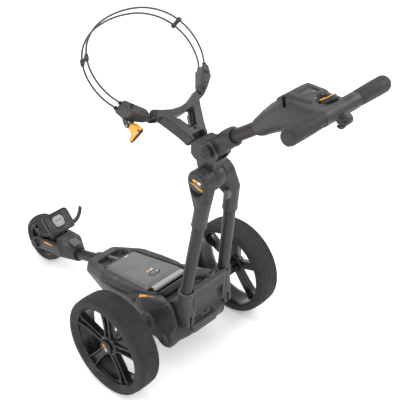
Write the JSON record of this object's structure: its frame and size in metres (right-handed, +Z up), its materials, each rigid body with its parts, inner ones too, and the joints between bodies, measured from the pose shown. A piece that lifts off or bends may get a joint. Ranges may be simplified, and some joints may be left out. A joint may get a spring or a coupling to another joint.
{
  "type": "electric golf trolley",
  "caption": "Three-wheeled electric golf trolley with a sloped battery deck, folding legs, a strapped bag bracket and a T handle with a speed dial",
  "frame": {"origin": "on the ground, under the centre of the trolley's overall length and width, the strap cords left out", "axes": "+Z up, -Y to the front wheel, +X to the trolley's left side"},
  "size_m": [0.576, 1.236, 1.0025],
  "materials": {
    "casing": "fine textured moulding, satin",
    "casing_dark": "fine textured moulding",
    "casing_light": "satin, lighter grey",
    "badge": "satin light grey",
    "steel": "machined",
    "gear": "moulded acetal",
    "tube": "dark bronze anodised",
    "tyre": "matte with fine tread",
    "rim": "gloss black",
    "cord": "braided elastic cord",
    "accent": "satin orange",
    "grip": "soft-touch rubber",
    "display": "glossy dark window"
  },
  "bodies": {
    "chassis": {"lower_case": "casing", "top_surround": "casing", "bay_connector": "casing_light", "rear_socket": "casing_dark", "hinge_brackets": "casing", "hinge_pins": "steel", "case_screws": "steel", "motor_case": "steel", "axle_bearings": "steel", "neck_tube": "tube", "front_fork": "casing_dark", "front_axle": "steel", "cradle_plate": "casing", "cradle_badge": "badge", "cradle_wings": "casing"},
    "motor": {"motor_rotor": "steel", "motor_pinion": "steel"},
    "axle": {"drive_axle": "steel", "axle_gear": "gear", "drive_pins": "steel"},
    "left_wheel": {"tyre_left": "tyre", "rim_left": "rim"},
    "left_button": {"hub_button_left": "casing_dark"},
    "right_wheel": {"tyre_right": "tyre", "rim_right": "rim"},
    "right_button": {"hub_button_right": "casing_dark"},
    "front_wheel": {"front_tyre": "tyre", "front_rim": "rim", "front_bearings": "steel"},
    "knob_tracking": {"tracking_knob": "casing_dark"},
    "legs": {"leg_base": "casing", "leg_tube_left": "tube", "leg_tube_right": "tube", "leg_head": "casing", "pivot_caps": "casing_dark", "fold_pin": "steel"},
    "latch_fold": {"fold_latch": "casing_dark"},
    "upper_frame": {"frame_stem": "casing", "bag_bracket": "casing", "wing_pins": "steel", "strap_cord_upper": "cord", "strap_cord_lower": "cord", "strap_spreader": "casing_dark", "strap_hook": "casing_dark"},
    "left_wing": {"wing_left": "casing"},
    "right_wing": {"wing_right": "casing"},
    "latch_strap": {"strap_latch": "accent"},
    "handle": {"handle_hub": "casing", "handle_tube": "tube", "head_shell": "casing", "head_cover": "casing", "display_window": "display", "grips": "grip", "accessory_bracket": "casing_dark"},
    "knob_handle": {"handle_knob": "casing_dark"},
    "stem_dial": {"dial_stem": "steel"},
    "dial": {"speed_dial": "casing_dark"},
    "battery": {"battery_case": "casing", "battery_lid": "casing_light"},
    "button_battery": {"battery_button": "casing_dark"}
  },
  "joints": [
    {"name": "wheel_left_spin", "type": "hinge", "parent": "chassis", "child": "left_wheel", "pos_m": [0.249, 0.072, 0.15], "axis": [1, 0, 0], "continuous": true},
    {"name": "wheel_right_spin", "type": "hinge", "parent": "chassis", "child": "right_wheel", "pos_m": [-0.249, 0.072, 0.15], "axis": [1, 0, 0], "continuous": true},
    {"name": "axle_spin", "type": "hinge", "parent": "chassis", "child": "axle", "pos_m": [0, 0.072, 0.15], "axis": [1, 0, 0], "continuous": true},
    {"name": "motor_spin", "type": "hinge", "parent": "chassis", "child": "motor", "pos_m": [0, 0.11165, 0.13151], "axis": [1, 0, 0], "continuous": true},
    {"name": "left_button_press", "type": "slide", "parent": "left_wheel", "child": "left_button", "axis": [-1, 0, 0], "range_m": [0, 0.003], "stiffness_N_per_m": 600, "springref_m": -0.001},
    {"name": "right_button_press", "type": "slide", "parent": "right_wheel", "child": "right_button", "axis": [1, 0, 0], "range_m": [0, 0.003], "stiffness_N_per_m": 600, "springref_m": -0.001},
    {"name": "front_wheel_spin", "type": "hinge", "parent": "chassis", "child": "front_wheel", "pos_m": [0, -0.538, 0.08], "axis": [1, 0, 0], "continuous": true},
    {"name": "tracking_turn", "type": "hinge", "parent": "chassis", "child": "knob_tracking", "pos_m": [0.05, -0.538, 0.08], "axis": [1, 0, 0], "range_deg": [-90, 90]},
    {"name": "leg_fold", "type": "hinge", "parent": "chassis", "child": "legs", "pos_m": [0, 0.147, 0.225], "axis": [1, 0, 0], "range_deg": [0, 75]},
    {"name": "fold_latch_pull", "type": "hinge", "parent": "legs", "child": "latch_fold", "pos_m": [-0.0265, 0.24, 0.596], "axis": [1, 0, 0], "range_deg": [0, 20], "stiffness_Nm_per_rad": 0.3, "springref_deg": -11.46},
    {"name": "upper_fold", "type": "hinge", "parent": "legs", "child": "upper_frame", "pos_m": [0, 0.208, 0.642], "axis": [-1, 0, 0], "range_deg": [0, 110]},
    {"name": "wing_left_swing", "type": "hinge", "parent": "upper_frame", "child": "left_wing", "pos_m": [0.083, 0.092, 0.815], "axis": [0, 0.6626, 0.749], "range_deg": [-10, 12], "deforming": ["strap_cord_upper", "strap_cord_lower"]},
    {"name": "wing_right_swing", "type": "hinge", "parent": "upper_frame", "child": "right_wing", "pos_m": [-0.083, 0.092, 0.815], "axis": [0, 0.6626, 0.749], "range_deg": [-12, 10], "deforming": ["strap_cord_upper", "strap_cord_lower"]},
    {"name": "strap_latch_lift", "type": "hinge", "parent": "left_wing", "child": "latch_strap", "pos_m": [0.135, 0.052, 0.7885], "axis": [1, 0, 0], "range_deg": [0, 38]},
    {"name": "handle_angle", "type": "hinge", "parent": "upper_frame", "child": "handle", "pos_m": [0, 0.225, 0.735], "axis": [1, 0, 0], "range_deg": [-15, 20]},
    {"name": "handle_knob_turn", "type": "hinge", "parent": "upper_frame", "child": "knob_handle", "pos_m": [0.038, 0.225, 0.735], "axis": [1, 0, 0], "range_deg": [0, 360]},
    {"name": "dial_press", "type": "slide", "parent": "handle", "child": "stem_dial", "axis": [0, 0.5878, -0.809], "range_m": [0, 0.0015], "stiffness_N_per_m": 900, "springref_m": -0.001},
    {"name": "dial_turn", "type": "hinge", "parent": "stem_dial", "child": "dial", "pos_m": [0, 0.55165, 0.98474], "axis": [0, -0.5878, 0.809], "continuous": true},
    {"name": "battery_lift", "type": "slide", "parent": "chassis", "child": "battery", "axis": [0, -0.165, 0.9863], "range_m": [0, 0.045]},
    {"name": "battery_button_press", "type": "slide", "parent": "battery", "child": "button_battery", "axis": [0, 0.165, -0.9863], "range_m": [0, 0.0008], "stiffness_N_per_m": 800, "springref_m": -0.001}
  ],
  "couplings": [
    {"joint": "wheel_right_spin", "follows": "wheel_left_spin", "ratio": 1},
    {"joint": "axle_spin", "follows": "wheel_left_spin", "ratio": 1},
    {"joint": "motor_spin", "follows": "wheel_left_spin", "ratio": -4}
  ]
}
